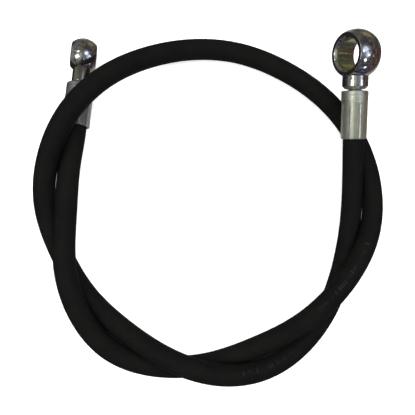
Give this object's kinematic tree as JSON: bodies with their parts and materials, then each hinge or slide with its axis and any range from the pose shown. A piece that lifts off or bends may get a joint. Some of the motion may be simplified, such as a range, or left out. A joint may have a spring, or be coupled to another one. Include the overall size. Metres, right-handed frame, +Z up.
{
  "type": "hydraulic hose assembly",
  "caption": "Wire-braided rubber hydraulic hose in a loose coil, with a crimped ferrule and a ball-shaped banjo eye at each end.",
  "frame": {"origin": "on the surface that the coil lies on, under the middle of the outline's box", "axes": "+Z up, away from the surface; +Y towards the two banjo ends; +X from the small end's side to the large end's side"},
  "size_m": [0.2566, 0.2514, 0.0596],
  "materials": {
    "cover_rubber": "matt black rubber with a cloth-wrapped surface",
    "tube_rubber": "smooth black oil-resistant rubber",
    "braid_wire": "brass-coated steel wire braid",
    "bright_plating": "polished, bright plated steel",
    "stem_steel": "turned steel, plated",
    "ferrule_zinc": "crimped steel with a dull zinc plating"
  },
  "bodies": {
    "root": {"hose_cover": "cover_rubber", "hose_wire_braid": "braid_wire", "hose_inner_tube": "tube_rubber", "large_banjo_eye": "bright_plating", "large_banjo_stem": "stem_steel", "large_banjo_ferrule": "ferrule_zinc", "small_banjo_eye": "bright_plating", "small_banjo_stem": "stem_steel", "small_banjo_ferrule": "ferrule_zinc"}
  },
  "joints": []
}
